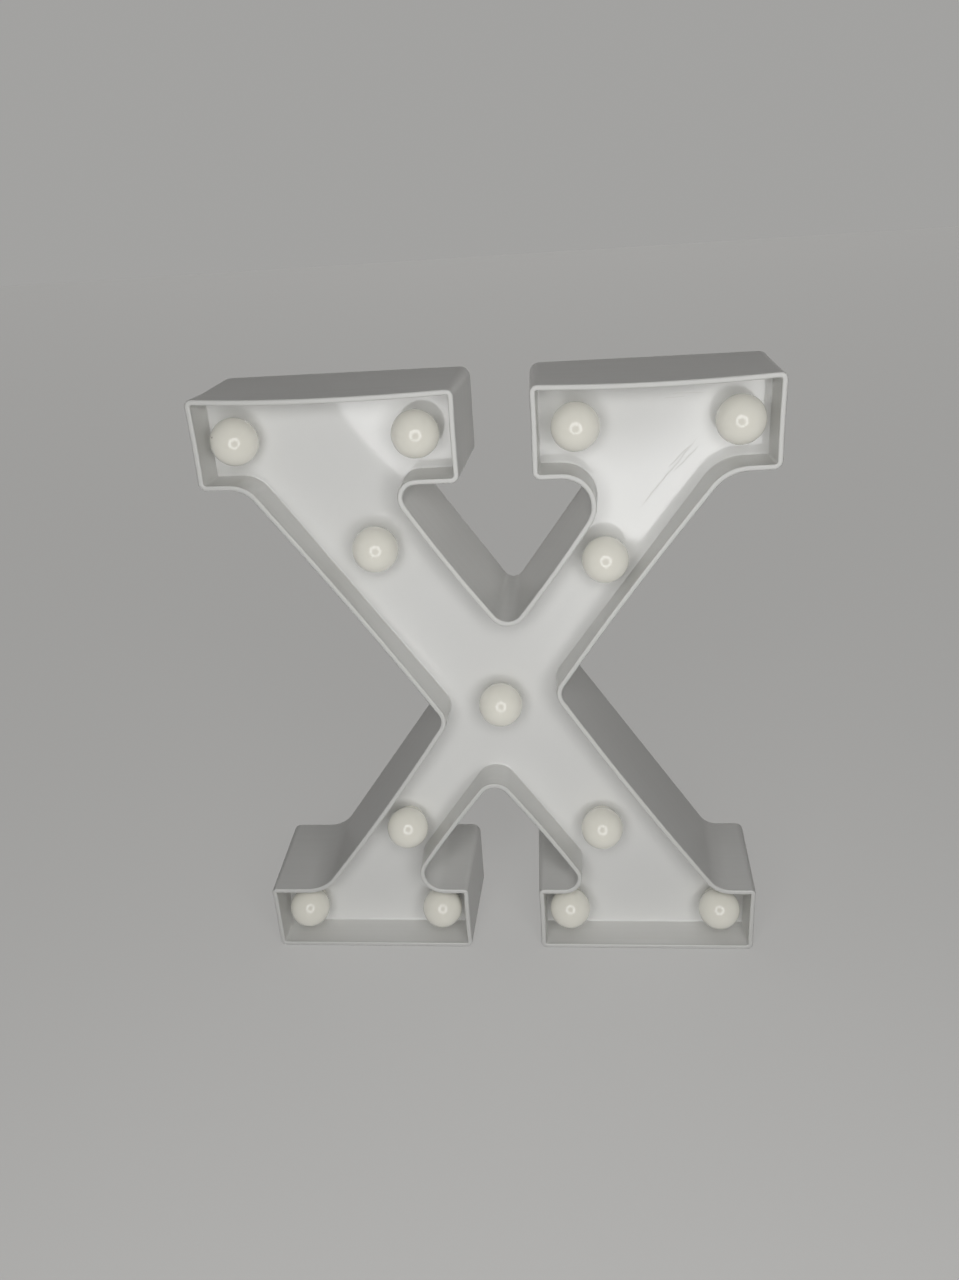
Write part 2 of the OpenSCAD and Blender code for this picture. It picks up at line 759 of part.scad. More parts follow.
// Frame sheet with a housing below it, open for the knob
module switch_frame() {
    slot_w = knob_w + 2 * knob_gap;
    room_l = housing_l - 2 * housing_wall;
    room_w = frame_w - 2 * housing_wall;
    color("dimgray") difference() {
        union() {
            block(
                [switch_x - frame_w / 2, y_frame_in, switch_z - frame_l / 2],
                [switch_x + frame_w / 2, y_frame, switch_z + frame_l / 2]
            );
            block(
                [switch_x - frame_w / 2, y_housing, switch_z - housing_l / 2],
                [switch_x + frame_w / 2, y_frame_in + frame_t / 2, switch_z + housing_l / 2]
            );
        }
        block(
            [switch_x - room_w / 2, y_housing + housing_wall, switch_z - room_l / 2],
            [switch_x + room_w / 2, y_frame_in, switch_z + room_l / 2]
        );
        block(
            [switch_x - slot_w / 2, y_frame_in - cut, switch_z - knob_slot_l / 2],
            [switch_x + slot_w / 2, y_frame + cut, switch_z + knob_slot_l / 2]
        );
        for (side = [-1, 1])
            rod(
                switch_x, switch_z + side * switch_post_z, switch_screw_r + screw_gap,
                y_frame_in - cut, y_frame + cut
            );
        for (side = [-1, 0, 1])
            rod(
                switch_x, switch_z + side * switch_pin_pitch, switch_pin_r,
                y_housing - cut, y_housing + housing_wall + cut
            );
    }
}

// Knob, shown in its lower place, with the slider plate that keeps it in the housing
module switch_knob() {
    slider_w = frame_w - 2 * housing_wall - 2 * slider_gap;
    slider_y = y_frame_in - slider_gap;
    color("black") {
        block(
            [switch_x - knob_w / 2, slider_y - slider_t, knob_low_z],
            [switch_x + knob_w / 2, y_cover + knob_out, knob_low_z + knob_l]
        );
        block(
            [switch_x - slider_w / 2, slider_y - slider_t, knob_low_z - slider_out],
            [switch_x + slider_w / 2, slider_y, knob_low_z + knob_l + slider_out]
        );
    }
}

module switch_pins() {
    color("silver") for (side = [-1, 0, 1])
        rod(
            switch_x, switch_z + side * switch_pin_pitch, switch_pin_r,
            y_pin_tip, y_housing + housing_wall
        );
}

// A pan-head screw with a cross recess, its head above z = 0
module screw(shank_r, shank_l, head_r, head_h) {
    slot_w = head_r / 4;
    slot_reach = head_r * 2 / 3;
    difference() {
        union() {
            cylinder(h = head_h, r = head_r);
            translate([0, 0, -shank_l]) cylinder(h = shank_l + head_h / 2, r = shank_r);
        }
        for (turn = [0, 90])
            rotate([0, 0, turn])
                block([-slot_reach, -slot_w / 2, head_h / 2], [slot_reach, slot_w / 2, head_h + cut]);
    }
}

module cover_screws() {
    color("silver") for (p = POSTS)
        translate([p[0], y_cover, p[1]]) rotate([-90, 0, 0])
            screw(screw_r, screw_l, screw_head_r, screw_head_h);
}

module switch_screws() {
    color("silver") for (side = [-1, 1])
        translate([switch_x, y_frame_in, switch_z + side * switch_post_z]) rotate([90, 0, 0])
            screw(switch_screw_r, switch_screw_l, switch_head_r, switch_head_h);
}

// Ends of the loose leads, just clear of what they are soldered to
function lead_end(side) = [tab_x(side) - side * tab_l / 2, tab_y, well_low[1] - solder_gap - lead_r];
pin_joint_y = y_pin_tip - solder_gap - joint_r;

module harness_pos() {
    color("firebrick") {
        wire_net(1, y_wire_pos);
        link(leg_end(9, 1, y_wire_pos), lead_end(1), lead_r);
    }
}

module harness_neg() {
    pin_end = [switch_x, pin_joint_y, switch_z - switch_pin_pitch];
    color("dimgray") {
        wire_net(-1, y_wire_neg);
        link(leg_end(8, -1, y_wire_neg), pin_end, lead_r);
        translate(pin_end) sphere(joint_r);
    }
}

module switch_lead() {
    pin_end = [switch_x, pin_joint_y, switch_z];
    color("dimgray") {
        link(pin_end, lead_end(-1), lead_r);
        translate(pin_end) sphere(joint_r);
    }
}

letter_shell();
back_cover();
battery_door();
battery_1();
battery_2();
contact_neg();
contact_pos();
contact_bridge();
switch_frame();
switch_knob();
switch_pins();
switch_screws();
cover_screws();
harness_pos();
harness_neg();
switch_lead();
for (i = [1:GLOBE_COUNT]) globe(i);
for (i = [1:GLOBE_COUNT]) led(i);
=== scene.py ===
import math

import bmesh
import bpy
from mathutils import Matrix, Vector
from mathutils.kdtree import KDTree


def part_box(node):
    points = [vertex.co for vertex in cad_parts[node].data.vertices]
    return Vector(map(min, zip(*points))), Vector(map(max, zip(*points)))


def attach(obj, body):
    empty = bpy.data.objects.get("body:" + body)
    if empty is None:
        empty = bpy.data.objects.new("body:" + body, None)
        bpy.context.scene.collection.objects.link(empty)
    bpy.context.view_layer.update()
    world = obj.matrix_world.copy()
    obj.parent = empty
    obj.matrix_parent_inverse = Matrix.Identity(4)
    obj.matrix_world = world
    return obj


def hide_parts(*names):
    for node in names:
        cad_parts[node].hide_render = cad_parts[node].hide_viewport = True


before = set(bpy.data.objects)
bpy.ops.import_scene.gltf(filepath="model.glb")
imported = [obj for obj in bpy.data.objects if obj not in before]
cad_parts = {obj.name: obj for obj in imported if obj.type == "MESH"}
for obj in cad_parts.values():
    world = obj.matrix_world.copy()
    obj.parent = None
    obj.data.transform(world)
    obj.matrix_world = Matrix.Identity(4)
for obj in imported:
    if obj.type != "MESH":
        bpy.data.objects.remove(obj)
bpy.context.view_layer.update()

# The shell: one glossy white moulding, a slab-serif letter with a sunk face and thin side walls.
# Its walls flare towards the back, as the mould needs, its rim is soft and a little warped, its feet flat.
# One ring of the letter's outline is extruded to the next, from the sunk face round the rim and back inside.
mm = 0.001
letter_h = 220 * mm
letter_w = 190 * mm
serif_h = 29.4 * mm
top_left_end = 6.8 * mm
top_right_end = 15.4 * mm
foot_left_end = 14.9 * mm
foot_right_end = 11.4 * mm
heavy_w = 50.1 * mm
thin_w = 35.6 * mm
heavy_overhang = 14.7 * mm
thin_top_overhang = 16.3 * mm
thin_foot_overhang = 22.3 * mm
corner_r = 2.8 * mm
notch_r = 4.7 * mm
heavy_outer_r = 9 * mm
thin_outer_r = 13 * mm
heavy_inner_r = 4.5 * mm
thin_top_inner_r = 9.3 * mm
thin_foot_inner_r = 6.2 * mm
least_r = 0.1 * mm

wall = 1.8 * mm
face_t = 2 * mm
tray_depth = 14 * mm
flare = 0.72 * mm
tray_lean = 0.2 * mm
rim_outer_r = 0.6 * mm
rim_inner_r = 0.5 * mm
back_edge_r = 0.4 * mm
floor_fillet = 0.5 * mm

# The rim's warp: long edges bow in, the outer ends of the upper serifs lift, and level edges are moved
rim_bow = 0.8 * mm
left_lift = 0.7 * mm
right_lift = 0.4 * mm
lift_from = 45 * mm
lift_fade = 15 * mm
serif_under_drop = 0.6 * mm
foot_top_inset = 1.2 * mm
shell_low, shell_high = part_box("letter_shell")
y_front = shell_low.y
y_back = shell_high.y
y_face = y_front + tray_depth
y_inside = y_face + face_t

half_w = letter_w / 2
mid_z = letter_h / 2
top_z = letter_h - serif_h
heavy_half = heavy_w / 2
thin_half = thin_w / 2
heavy_end = half_w - heavy_overhang - heavy_half
thin_top_end = half_w - thin_top_overhang - thin_half
thin_foot_end = half_w - thin_foot_overhang - thin_half
thin_shift = (thin_top_end - thin_foot_end) / 2
heavy_lean = heavy_end / (top_z - mid_z)
thin_lean = (thin_top_end + thin_foot_end) / (top_z - serif_h)
lean_sum = heavy_lean + thin_lean
v_z = mid_z + (heavy_half + thin_half - thin_shift) / lean_sum
apex_z = mid_z - (heavy_half + thin_half + thin_shift) / lean_sum
left_z = mid_z + (thin_half - heavy_half - thin_shift) / lean_sum
right_z = mid_z + (heavy_half - thin_half - thin_shift) / lean_sum


def heavy_x(z):
    return -heavy_lean * (z - mid_z)


def thin_x(z):
    return thin_shift + thin_lean * (z - mid_z)


# Corners of the outline in X and Z, anticlockwise from the lower left, each with its rounding
letter_corners = [
    (-half_w, 0, corner_r),
    (-foot_left_end, 0, corner_r),
    (-foot_left_end, serif_h, corner_r),
    (thin_x(serif_h) + thin_half, serif_h, thin_foot_inner_r),
    (heavy_x(apex_z) - heavy_half, apex_z, notch_r),
    (heavy_x(serif_h) - heavy_half, serif_h, heavy_inner_r),
    (foot_right_end, serif_h, corner_r),
    (foot_right_end, 0, corner_r),
    (half_w, 0, corner_r),
    (half_w, serif_h, corner_r),
    (heavy_x(serif_h) + heavy_half, serif_h, heavy_outer_r),
    (heavy_x(right_z) + heavy_half, right_z, notch_r),
    (thin_x(top_z) + thin_half, top_z, thin_outer_r),
    (half_w, top_z, corner_r),
    (half_w, letter_h, corner_r),
    (top_right_end, letter_h, corner_r),
    (top_right_end, top_z, corner_r),
    (thin_x(top_z) - thin_half, top_z, thin_top_inner_r),
    (heavy_x(v_z) + heavy_half, v_z, notch_r),
    (heavy_x(top_z) + heavy_half, top_z, heavy_inner_r),
    (-top_left_end, top_z, corner_r),
    (-top_left_end, letter_h, corner_r),
    (-half_w, letter_h, corner_r),
    (-half_w, top_z, corner_r),
    (heavy_x(top_z) - heavy_half, top_z, heavy_outer_r),
    (heavy_x(left_z) - heavy_half, left_z, notch_r),
    (thin_x(serif_h) - thin_half, serif_h, thin_outer_r),
    (-half_w, serif_h, corner_r),
]
# How far the rim of each level edge lies inside the outline, by height; the other edges have the flare
level_insets = {0: 0, serif_h: foot_top_inset, top_z: -serif_under_drop, letter_h: 0}
corner_steps = 10
edge_steps = 8


def corner(i):
    x, z, _ = letter_corners[i % len(letter_corners)]
    return Vector((x, z))


def inward(i):
    along = (corner(i + 1) - corner(i)).normalized()
    return Vector((-along.y, along.x))


def is_foot(i):
    return corner(i).y == 0 and corner(i + 1).y == 0


def edge_inset(i, rim_share, back_share):
    """How far edge i lies inside the outline, as shares of its places at the rim and at the back."""
    z, next_z = (letter_corners[k % len(letter_corners)][1] for k in (i, i + 1))
    at_rim = level_insets[z] if z == next_z else flare
    at_back = 0 if is_foot(i) else -flare
    return rim_share * at_rim + back_share * at_back


def corner_arc(i, rim_share, back_share, inset):
    """Points round corner i of the outline, its edges moved in and its rounding grown or shrunk to suit."""
    insets = [edge_inset(k, rim_share, back_share) + inset for k in (i - 1, i)]
    a, b = inward(i - 1), inward(i)
    lean = a.dot(b)
    moved = corner(i)
    moved += a * (insets[0] - lean * insets[1]) / (1 - lean * lean)
    moved += b * (insets[1] - lean * insets[0]) / (1 - lean * lean)
    back = (corner(i - 1) - corner(i)).normalized()
    ahead = (corner(i + 1) - corner(i)).normalized()
    turn = 1 if back.x * ahead.y - back.y * ahead.x < 0 else -1
    radius = max(least_r, letter_corners[i][2] - turn * sum(insets) / 2)
    half_angle = math.acos(back.dot(ahead)) / 2
    centre = moved + (back + ahead).normalized() * radius / math.sin(half_angle)
    spoke = moved + back * radius / math.tan(half_angle) - centre
    sweep = turn * (math.pi - 2 * half_angle)
    turns = [sweep * k / corner_steps for k in range(corner_steps + 1)]
    return [centre + Matrix.Rotation(turned, 2) @ spoke for turned in turns]


def lifted(point):
    """How far a point of the rim is warped up, near the outer ends of the upper serifs."""
    outward = max(0, abs(point.x) - lift_from) / (half_w - lift_from)
    upward = min(1, max(0, (point.y - top_z) / lift_fade + 1))
    return (left_lift if point.x < 0 else right_lift) * outward ** 2 * upward


def outline_ring(rim_share, back_share, inset, y):
    """The whole outline at depth y, bowed and lifted where the rim stands free of the face."""
    arcs = [corner_arc(i, rim_share, back_share, inset) for i in range(len(letter_corners))]
    freedom = max(0, (y_face - y) / tray_depth)
    bow = rim_bow * freedom
    long_edge = 2 * serif_h
    points = []
    for i, arc in enumerate(arcs):
        points += arc
        start, end = arc[-1], arcs[(i + 1) % len(arcs)][0]
        share = 0 if is_foot(i) else min(1, (end - start).length / long_edge) ** 2
        for k in range(1, edge_steps):
            t = k / edge_steps
            sag = 4 * t * (1 - t)
            points.append(start.lerp(end, t) + inward(i) * bow * share * sag)
    return [Vector((p.x, y, p.y + freedom * lifted(p))) for p in points]


def outer_ring(extra, y):
    back_share = (y - y_front) / (y_back - y_front)
    return outline_ring(1 - back_share, back_share, extra, y)


def tray_ring(extra, y):
    leaning = tray_lean * (y - y_front) / tray_depth
    return outline_ring(1, 0, wall + leaning + extra, y)


def inner_ring(extra, y):
    return outline_ring(0, 0, wall + extra, y)


def quarter(radius, steps=4):
    """Steps round a quarter circle: how far in from the side and down from the top."""
    angles = [math.pi / 2 * k / steps for k in range(steps + 1)]
    return [(radius * (1 - math.sin(a)), radius * (1 - math.cos(a))) for a in angles]


shell_rings = [tray_ring(2 * floor_fillet, y_face)]
shell_rings += [tray_ring(inset, y_face - rise) for inset, rise in quarter(floor_fillet)]
shell_rings += [tray_ring(-inset, y_front + drop) for drop, inset in quarter(rim_inner_r)]
shell_rings += [outer_ring(inset, y_front + drop) for inset, drop in quarter(rim_outer_r)]
shell_rings += [outer_ring(0, y_face)]
shell_rings += [outer_ring(inset, y_back - drop) for drop, inset in quarter(back_edge_r)]
shell_rings += [inner_ring(-inset, y_back - drop) for inset, drop in quarter(back_edge_r)]
shell_rings += [inner_ring(0, y_inside)]

bpy.ops.object.select_all(action="DESELECT")
bpy.ops.mesh.primitive_circle_add(vertices=len(shell_rings[0]))
shell = bpy.context.object
shell.name = "letter_shell_moulding"
for vertex, place in zip(shell.data.vertices, shell_rings[0]):
    vertex.co = place


def move_ring(piece, old_places, new_places):
    """Moves each selected vertex from the nearest of its old places to the matching new one."""
    nearest = KDTree(len(old_places))
    for k, place in enumerate(old_places):
        nearest.insert(place, k)
    nearest.balance()
    edited = bmesh.from_edit_mesh(piece.data)
    for vertex in [v for v in edited.verts if v.select]:
        vertex.co = new_places[nearest.find(vertex.co)[1]]
    bmesh.update_edit_mesh(piece.data)


bpy.ops.object.mode_set(mode="EDIT")
bpy.ops.mesh.select_all(action="SELECT")
for old_ring, new_ring in zip(shell_rings, shell_rings[1:]):
    bpy.ops.mesh.extrude_edges_move()
    move_ring(shell, old_ring, new_ring)

# Holes in the face for the necks of the globes
globe_count = 13
hole_r = 4.3 * mm
hole_sides = 48
for i in range(1, globe_count + 1):
    globe_low, globe_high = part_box(f"globe_{i}")
    middle = (globe_low + globe_high) / 2
    bpy.ops.mesh.select_all(action="DESELECT")
    bpy.ops.mesh.primitive_circle_add(
        vertices=hole_sides, radius=hole_r, location=(middle.x, y_face, middle.z),
        rotation=(math.pi / 2, 0, 0),
    )
    bpy.ops.mesh.extrude_edges_move(TRANSFORM_OT_translate={"value": (0, face_t, 0)})


# Posts behind the face, bored for the screws that hold the cover
post_r = 3.2 * mm
post_sides = 40
pilot_r = 1.35 * mm
pilot_l = 8.5 * mm
post_edge = 7.5 * mm
post_top_left = 42 * mm
post_top_right = 46 * mm
post_foot = 55 * mm
mid_post_rise = 30 * mm
mid_post_out = 15 * mm
cover_recess = 2 * mm
cover_t = 2 * mm
y_cover = y_back - cover_recess
y_cover_in = y_cover - cover_t
y_pilot_end = y_cover - pilot_l
post_places = [
    (-post_top_left, letter_h - post_edge),
    (post_top_right, letter_h - post_edge),
    (heavy_x(mid_z + mid_post_rise) - mid_post_out, mid_z + mid_post_rise),
    (heavy_x(mid_z - mid_post_rise) + mid_post_out, mid_z - mid_post_rise),
    (-post_foot, post_edge),
    (post_foot, post_edge),
]
narrowed = pilot_r / post_r
for x, z in post_places:
    bpy.ops.mesh.select_all(action="DESELECT")
    bpy.ops.mesh.primitive_circle_add(
        vertices=post_sides, radius=post_r, location=(x, y_inside, z), rotation=(math.pi / 2, 0, 0)
    )
    bpy.ops.mesh.extrude_edges_move(TRANSFORM_OT_translate={"value": (0, y_cover_in - y_inside, 0)})
    bpy.ops.mesh.extrude_edges_move()
    bpy.ops.transform.resize(value=(narrowed, 1, narrowed), center_override=(x, y_cover_in, z))
    bpy.ops.mesh.extrude_edges_move(TRANSFORM_OT_translate={"value": (0, y_pilot_end - y_cover_in, 0)})
    bpy.ops.mesh.edge_face_add()


same_level = 0.01 * mm
same_place = 0.001 * mm


def select_open_edges(piece, y):
    """Selects the edges at depth y that still lack a face, and nothing else."""
    bpy.ops.mesh.select_all(action="DESELECT")
    edited = bmesh.from_edit_mesh(piece.data)
    for edge in edited.edges:
        level = all(abs(v.co.y - y) < same_level for v in edge.verts)
        if level and len(edge.link_faces) < 2:
            edge.select_set(True)
    bmesh.update_edit_mesh(piece.data)


for y in (y_face, y_inside):
    select_open_edges(shell, y)
    bpy.ops.mesh.fill()
bpy.ops.mesh.select_all(action="SELECT")
bpy.ops.mesh.remove_doubles(threshold=same_place)
bpy.ops.mesh.normals_make_consistent(inside=False)
bpy.ops.object.mode_set(mode="OBJECT")


def smooth(piece, angle=35):
    """Smooth shading, with edges sharper than the angle kept and broad faces left flat."""
    bpy.ops.object.select_all(action="DESELECT")
    piece.select_set(True)
    bpy.context.view_layer.objects.active = piece
    bpy.ops.object.shade_smooth_by_angle(angle=math.radians(angle))
    weighted = piece.modifiers.new("broad_faces_flat", "WEIGHTED_NORMAL")
    weighted.keep_sharp = True
    bpy.ops.object.modifier_apply(modifier=weighted.name)


smooth(shell)


def new_group(name, inputs, outputs):
    """A shader node group with its sockets, and its two end nodes."""
    group = bpy.data.node_groups.new(name, "ShaderNodeTree")
    for label, kind, value in inputs:
        group.interface.new_socket(name=label, in_out="INPUT", socket_type=kind).default_value = value
    for label, kind in outputs:
        group.interface.new_socket(name=label, in_out="OUTPUT", socket_type=kind)
    return group, group.nodes.new("NodeGroupInput"), group.nodes.new("NodeGroupOutput")


def add_math(tree, operation, *values):
    """A Math node whose inputs are sockets or plain numbers; gives its output socket."""
    node = tree.nodes.new("ShaderNodeMath")
    node.operation = operation
    for socket, value in zip(node.inputs, values):
        if isinstance(value, bpy.types.NodeSocket):
            tree.links.new(value, socket)
        else:
            socket.default_value = value
    return node.outputs[0]


def add_noise(tree, scale, detail, stretch=(1, 1, 1)):
    """Noise on Object coordinates, scale being features per metre; gives its value socket."""
    coordinates = tree.nodes.new("ShaderNodeTexCoord")
    mapping = tree.nodes.new("ShaderNodeMapping")
    mapping.inputs["Scale"].default_value = stretch
    noise = tree.nodes.new("ShaderNodeTexNoise")
    noise.inputs["Scale"].default_value = scale
    noise.inputs["Detail"].default_value = detail
    tree.links.new(coordinates.outputs["Object"], mapping.inputs["Vector"])
    tree.links.new(mapping.outputs["Vector"], noise.inputs["Vector"])
    return noise.outputs["Fac"]


def add_range(tree, value, low, high, at_low=0, at_high=1):
    """A smooth step from one value to another between low and high; gives its output socket."""
    node = tree.nodes.new("ShaderNodeMapRange")
    node.interpolation_type = "SMOOTHSTEP"
    for label, given in (("From Min", low), ("From Max", high), ("To Min", at_low), ("To Max", at_high)):
        node.inputs[label].default_value = given
    tree.links.new(value, node.inputs["Value"])
    return node.outputs["Result"]


def add_vector_math(tree, operation, first, second):
    """A Vector Math node; gives the output socket that its operation fills."""
    node = tree.nodes.new("ShaderNodeVectorMath")
    node.operation = operation
    for socket, value in zip(node.inputs, (first, second)):
        if isinstance(value, bpy.types.NodeSocket):
            tree.links.new(value, socket)
        else:
            socket.default_value = value
    return node.outputs["Value" if operation in ("DOT_PRODUCT", "DISTANCE") else "Vector"]


def add_mix(tree, blend, factor, first, second):
    """A colour Mix node; gives its colour socket."""
    node = tree.nodes.new("ShaderNodeMix")
    node.data_type = "RGBA"
    node.blend_type = blend
    for place, value in ((0, factor), (6, first), (7, second)):
        if isinstance(value, bpy.types.NodeSocket):
            tree.links.new(value, node.inputs[place])
        else:
            node.inputs[place].default_value = value
    return node.outputs[2]


noise_middle = 0.5


def moulded_skin_group():
    """Moulded plastic: slow drifts of tone and polish, a long ripple and the mould's fine grain."""
    group, given, made = new_group(
        "moulded_skin",
        [
            ("Colour", "NodeSocketColor", (0.8, 0.8, 0.8, 1)),
            ("Tone drift", "NodeSocketFloat", 0.5),
            ("Roughness", "NodeSocketFloat", 0.3),
            ("Polish drift", "NodeSocketFloat", 0.1),
            ("Ripple", "NodeSocketFloat", 0.5),
            ("Grain", "NodeSocketFloat", 0.1),
        ],
        [("Colour", "NodeSocketColor"), ("Roughness", "NodeSocketFloat"), ("Height", "NodeSocketFloat")],
    )
    drift_tone = (0.9, 0.895, 0.88, 1)
    drift = add_math(group, "MULTIPLY", add_noise(group, scale=28, detail=4), given.outputs["Tone drift"])
    shaded = add_mix(group, "MULTIPLY", drift, given.outputs["Colour"], drift_tone)
    group.links.new(shaded, made.inputs["Colour"])
    uneven = add_math(group, "SUBTRACT", add_noise(group, scale=55, detail=5), noise_middle)
    polish = add_math(group, "MULTIPLY", uneven, given.outputs["Polish drift"])
    group.links.new(add_math(group, "ADD", given.outputs["Roughness"], polish), made.inputs["Roughness"])
    ripple = add_math(group, "MULTIPLY", add_noise(group, scale=34, detail=1), given.outputs["Ripple"])
    grain = add_math(group, "MULTIPLY", add_noise(group, scale=2600, detail=2), given.outputs["Grain"])
    group.links.new(add_math(group, "ADD", ripple, grain), made.inputs["Height"])
    return group


moulded_skin = moulded_skin_group()


def new_material(name):
    """A material with its Principled shader; gives the material, its tree and the shader."""
    material = bpy.data.materials.new(name)
    material.use_nodes = True
    tree = material.node_tree
    return material, tree, tree.nodes["Principled BSDF"]


def add_bump(tree, shader, height, strength, distance):
    bump = tree.nodes.new("ShaderNodeBump")
    bump.inputs["Strength"].default_value = strength
    bump.inputs["Distance"].default_value = distance
    tree.links.new(height, bump.inputs["Height"])
    tree.links.new(bump.outputs["Normal"], shader.inputs["Normal"])


def place_group(tree, group, **values):
    """Puts a node group into a material with its own values; underscores stand for spaces."""
    node = tree.nodes.new("ShaderNodeGroup")
    node.node_tree = group
    for label, value in values.items():
        node.inputs[label.replace("_", " ")].default_value = value
    return node


def hairline_group():
    """One hairline scratch in the face: a thin wavering line that fades in and out along its run."""
    group, given, made = new_group(
        "hairline",
        [
            ("Start", "NodeSocketVector", (0, 0, 0)),
            ("Along", "NodeSocketVector", (1, 0, 0)),
            ("Across", "NodeSocketVector", (0, 0, 1)),
            ("Length", "NodeSocketFloat", 0.01),
        ],
        [("Mask", "NodeSocketFloat")],
    )
    line_w = 0.3 * mm
    line_core = 0.2 * line_w
    waver = 1.1 * mm
    surface_depth = 0.4 * mm
    surface_core = 0.8 * surface_depth
    risen_at = 0.2
    falls_from = 0.75
    coordinates = group.nodes.new("ShaderNodeTexCoord")
    place = add_vector_math(group, "SUBTRACT", coordinates.outputs["Object"], given.outputs["Start"])
    along = add_vector_math(group, "DOT_PRODUCT", place, given.outputs["Along"])
    across = add_vector_math(group, "DOT_PRODUCT", place, given.outputs["Across"])
    depth = add_math(group, "ABSOLUTE", add_vector_math(group, "DOT_PRODUCT", place, (0, 1, 0)))
    uneven = add_math(group, "SUBTRACT", add_noise(group, scale=180, detail=1), noise_middle)
    sway = add_math(group, "MULTIPLY", uneven, waver)
    off_line = add_math(group, "ABSOLUTE", add_math(group, "ADD", across, sway))
    share = add_math(group, "DIVIDE", along, given.outputs["Length"])
    mask = add_math(
        group, "MULTIPLY", add_range(group, off_line, line_core, line_w, 1, 0),
        add_range(group, depth, surface_core, surface_depth, 1, 0),
    )
    mask = add_math(group, "MULTIPLY", mask, add_range(group, share, 0, risen_at))
    mask = add_math(group, "MULTIPLY", mask, add_range(group, share, falls_from, 1, 1, 0))
    group.links.new(mask, made.inputs["Mask"])
    return group


shell_colour = (0.76, 0.76, 0.745, 1)
shell_shine = 0.44
skin_bump = 0.3
skin_relief = 0.3 * mm
shell_white, shell_tree, shell_shader = new_material("shell_gloss_white")
shell_shader.inputs["Specular IOR Level"].default_value = shell_shine
shell_skin = place_group(
    shell_tree, moulded_skin, Colour=shell_colour, Roughness=0.05, Tone_drift=0.3, Polish_drift=0.03,
    Ripple=0.5, Grain=0.003,
)

# The cutter of the mould left faint lines round the walls, level with the rim, so they shine less. The lines
# also darken and warm the walls' colour, partly as mould marks and partly as painted shade.
# The rim, where the mould parts, is duller too, and its colour is darkened a little: painted shade that holds
# down the light the rim catches.
wall_dulling = 0.27
rim_dulling = 0.3
rim_dull_to = 1.2 * mm
# Painted shade: the colour of the rim is multiplied by this darker tone.
rim_painted_shade = (0.88, 0.88, 0.87, 1)
# Partly painted shade: this darker, warmer colour is laid along the wall lines, so the walls read darker than
# the face.
cutter_line_and_shade_colour = (0.82, 0.815, 0.79, 1)
cutter_line_and_shade_strength = 0.35
line_height = 0.06
line_stretch = (0.012, 1, 0.012)
wall_full = 0.3
wall_none = 0.7
facing = shell_tree.nodes.new("ShaderNodeNewGeometry")
wall_side = shell_tree.nodes.new("ShaderNodeSeparateXYZ")
shell_tree.links.new(facing.outputs["Normal"], wall_side.inputs[0])
off_walls = add_math(shell_tree, "ABSOLUTE", wall_side.outputs["Y"])
on_walls = add_range(shell_tree, off_walls, wall_full, wall_none, 1, 0)
cutter_lines = add_noise(shell_tree, scale=620, detail=3, stretch=line_stretch)
shell_place = shell_tree.nodes.new("ShaderNodeTexCoord")
shell_depth = add_vector_math(shell_tree, "DOT_PRODUCT", shell_place.outputs["Object"], (0, 1, 0))
on_rim = add_range(shell_tree, shell_depth, y_front + rim_dull_to / 2, y_front + rim_dull_to, 1, 0)
wall_lines = add_math(shell_tree, "MULTIPLY", on_walls, cutter_lines)
# Partly painted shade: the wall lines darken the walls' colour.
cutter_line_and_wall_shade = add_math(shell_tree, "MULTIPLY", wall_lines, cutter_line_and_shade_strength)
shell_tone = add_mix(shell_tree, "MULTIPLY", cutter_line_and_wall_shade, shell_skin.outputs["Colour"], cutter_line_and_shade_colour)

# Hairline scratches on the upper right arm: start in X and Z, angle in degrees and length
scratches = [
    (50 * mm, 174.3 * mm, 51, 33 * mm),
    (61.3 * mm, 187.1 * mm, 45, 13.4 * mm),
    (59.7 * mm, 188.8 * mm, 43, 13 * mm),
    (60.4 * mm, 212.8 * mm, 1, 11.5 * mm),
    (58.2 * mm, 211.6 * mm, 2, 7.6 * mm),
]
scratch_roughness = 0.22
scratch_depth = 0.14
scratch_tone = (0.92, 0.915, 0.905, 1)
hairline = hairline_group()
scratched = 0
for x, z, angle, length in scratches:
    run = math.cos(math.radians(angle))
    rise = math.sin(math.radians(angle))
    scratch = place_group(
        shell_tree, hairline, Start=(x, y_face, z), Along=(run, 0, rise), Across=(-rise, 0, run),
        Length=length,
    )
    scratched = add_math(shell_tree, "MAXIMUM", scratch.outputs["Mask"], scratched)

# Painted shade on the rim: its colour is darkened here.
rim_shaded_colour = add_mix(shell_tree, "MULTIPLY", on_rim, shell_tone, rim_painted_shade)
scratched_tone = add_mix(shell_tree, "MULTIPLY", scratched, rim_shaded_colour, scratch_tone)
shell_tree.links.new(scratched_tone, shell_shader.inputs["Base Color"])
dulling = add_math(
    shell_tree, "MAXIMUM", add_math(shell_tree, "MULTIPLY", on_walls, wall_dulling),
    add_math(shell_tree, "MULTIPLY", on_rim, rim_dulling),
)
dulled_walls = add_math(shell_tree, "ADD", dulling, shell_skin.outputs["Roughness"])
dulled = add_math(shell_tree, "MULTIPLY_ADD", scratched, scratch_roughness, dulled_walls)
shell_tree.links.new(dulled, shell_shader.inputs["Roughness"])
lined = add_math(shell_tree, "MULTIPLY_ADD", wall_lines, line_height, shell_skin.outputs["Height"])
shell_height = add_math(shell_tree, "MULTIPLY_ADD", scratched, -scratch_depth, lined)
add_bump(shell_tree, shell_shader, shell_height, skin_bump, skin_relief)
shell.data.materials.append(shell_white)
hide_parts("letter_shell")
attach(shell, "letter")

